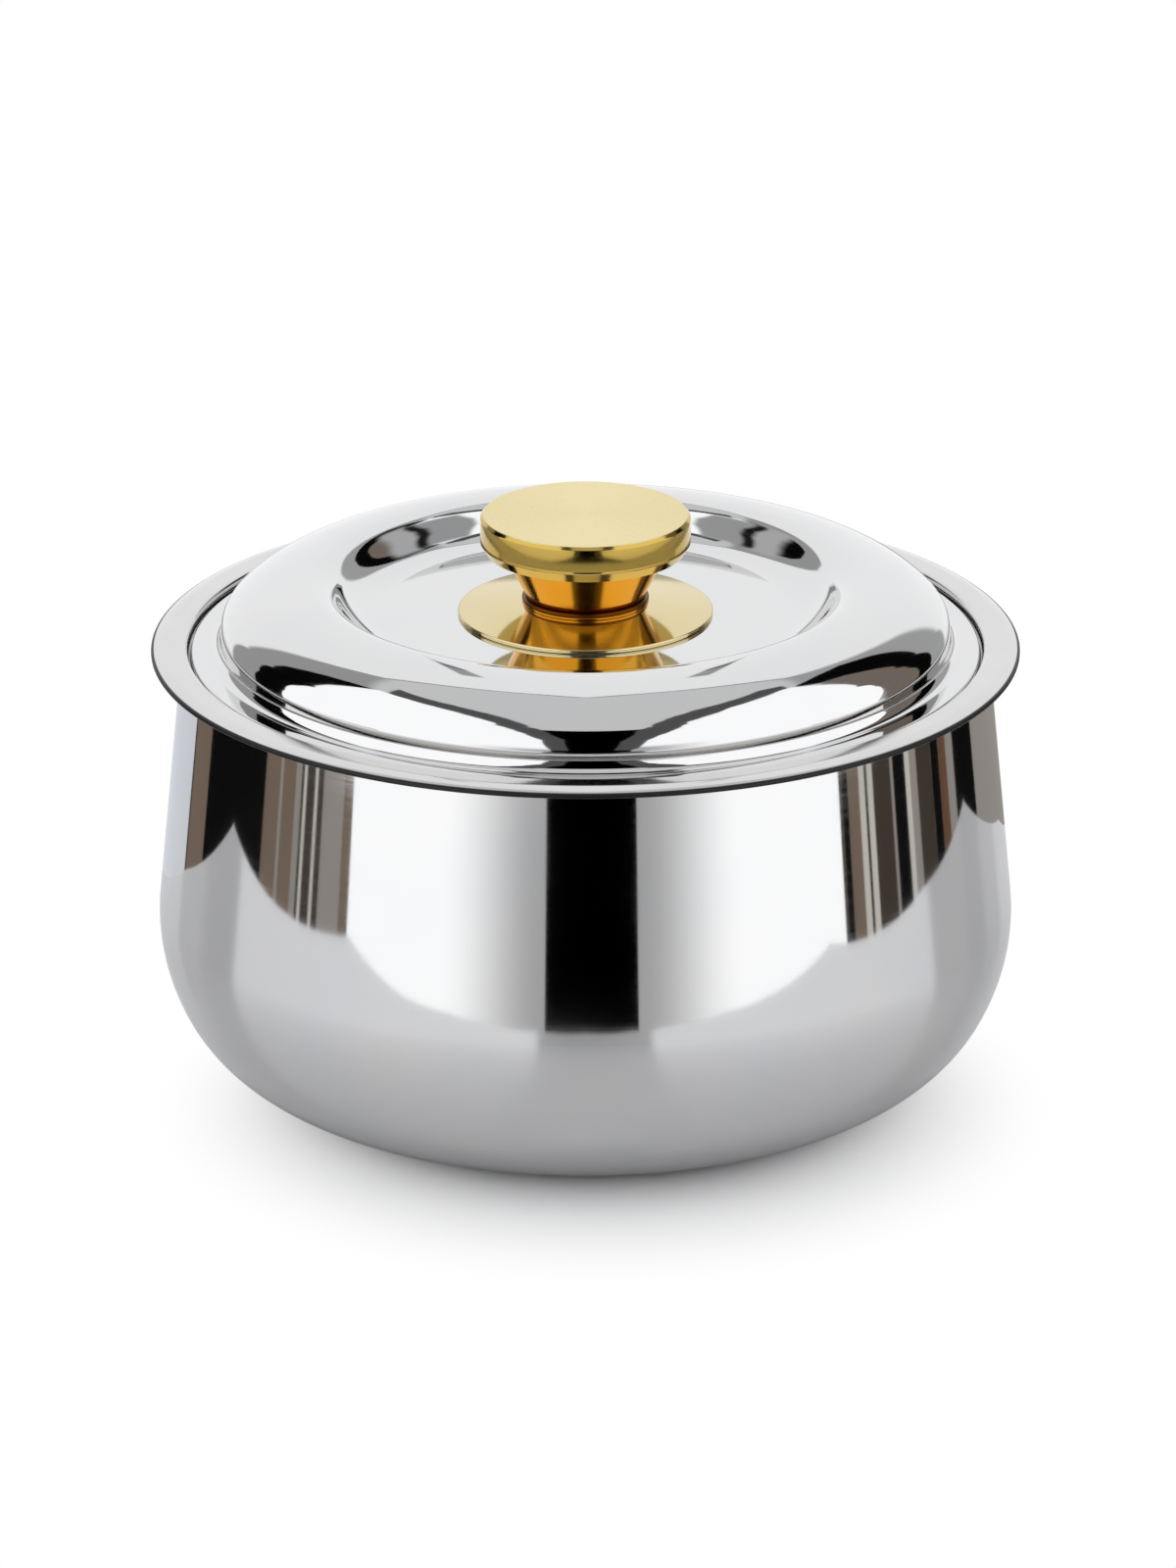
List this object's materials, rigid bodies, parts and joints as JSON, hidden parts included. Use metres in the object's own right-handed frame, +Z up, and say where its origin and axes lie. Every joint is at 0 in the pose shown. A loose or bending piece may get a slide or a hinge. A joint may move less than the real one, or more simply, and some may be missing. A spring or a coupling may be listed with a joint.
{
  "type": "insulated chapati casserole",
  "caption": "Round double-walled steel casserole that keeps flatbread warm: belly body with a wide flat rim, deep steel bowl, loose insulated domed lid with a sunken middle and a gold knob.",
  "frame": {"origin": "on the casserole's upright axis, in the plane of the flat ring it stands on", "axes": "+Z up along the axis that every piece is turned about; +X to the right and +Y away from the side shown, both free because the object is round"},
  "size_m": [0.24, 0.24, 0.1615],
  "materials": {
    "mirror_steel": "spun and mirror-polished stainless steel",
    "inner_steel": "satin stainless steel",
    "gold_plate": "gold-coloured plating, satin on the knob's top and polished elsewhere",
    "foam": "rigid polyurethane foam, poured in place",
    "plug_plastic": "moulded plastic",
    "fastener_steel": "zinc-plated steel"
  },
  "bodies": {
    "base": {"outer_shell": "mirror_steel", "liner_bowl": "mirror_steel", "body_insulation": "foam", "fill_plug": "plug_plastic"},
    "lid": {"lid_outer_skin": "mirror_steel", "lid_inner_skin": "inner_steel", "lid_insulation": "foam", "knob_cap": "gold_plate", "knob_cap_base": "gold_plate", "knob_insert": "fastener_steel", "knob_stem": "gold_plate", "knob_rosette": "gold_plate", "backing_washer": "fastener_steel", "spring_washer": "fastener_steel", "knob_screw": "fastener_steel"}
  },
  "joints": [
    {"name": "lid_lift", "type": "slide", "parent": "base", "child": "lid", "axis": [0, 0, 1], "range_m": [0, 0.12]}
  ]
}
